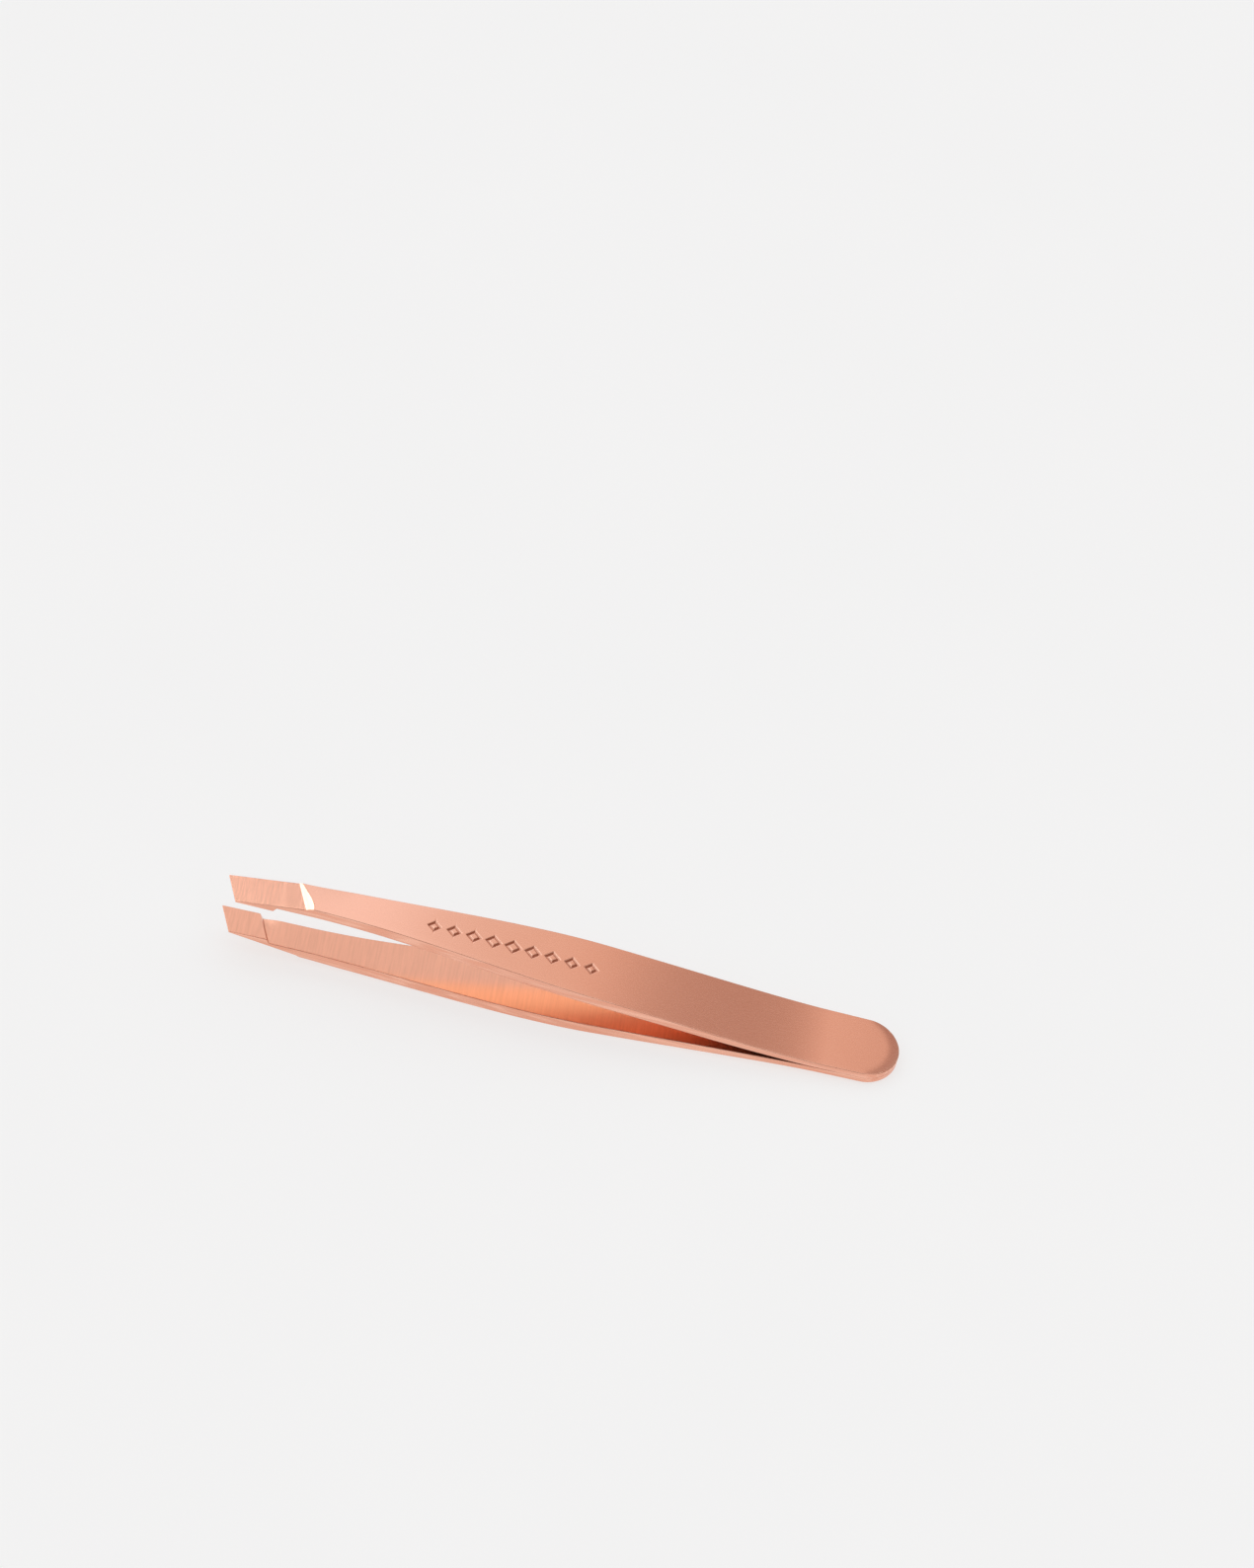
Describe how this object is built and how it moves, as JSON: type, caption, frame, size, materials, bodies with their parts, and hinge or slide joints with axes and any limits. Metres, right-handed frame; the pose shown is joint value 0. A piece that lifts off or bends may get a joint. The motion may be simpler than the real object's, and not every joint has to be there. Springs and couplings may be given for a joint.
{
  "type": "slant tweezers",
  "caption": "Slim sprung tweezers: two bowed arms laid together at a rounded heel, with slanted tips ground flat outside and padded inside",
  "frame": {"origin": "point on the middle plane where the foremost point of the tips meets when they are squeezed together", "axes": "+X runs back to the heel, Y goes across the arms, +Z is the way the upper arm opens"},
  "size_m": [0.07, 0.008, 0.0074],
  "materials": {
    "rose_gold_steel": "rose gold plated spring steel, satin brushed",
    "weld_metal": "fused spot weld"
  },
  "bodies": {
    "heel": {"upper_heel": "rose_gold_steel", "lower_heel": "rose_gold_steel", "heel_welds": "weld_metal"},
    "upper_arm": {"upper_arm": "rose_gold_steel"},
    "lower_arm": {"lower_arm": "rose_gold_steel"}
  },
  "joints": [
    {"name": "upper_arm_flex", "type": "hinge", "parent": "heel", "child": "upper_arm", "pos_m": [0.05347, 0, 0.00039], "axis": [0, -1, 0], "range_deg": [0, 2.34], "stiffness_Nm_per_rad": 0.8},
    {"name": "lower_arm_flex", "type": "hinge", "parent": "heel", "child": "lower_arm", "pos_m": [0.05347, 0, -0.00039], "axis": [0, -1, 0], "range_deg": [-2.35, 0], "stiffness_Nm_per_rad": 0.8}
  ],
  "couplings": [
    {"joint": "lower_arm_flex", "follows": "upper_arm_flex", "ratio": -1}
  ]
}
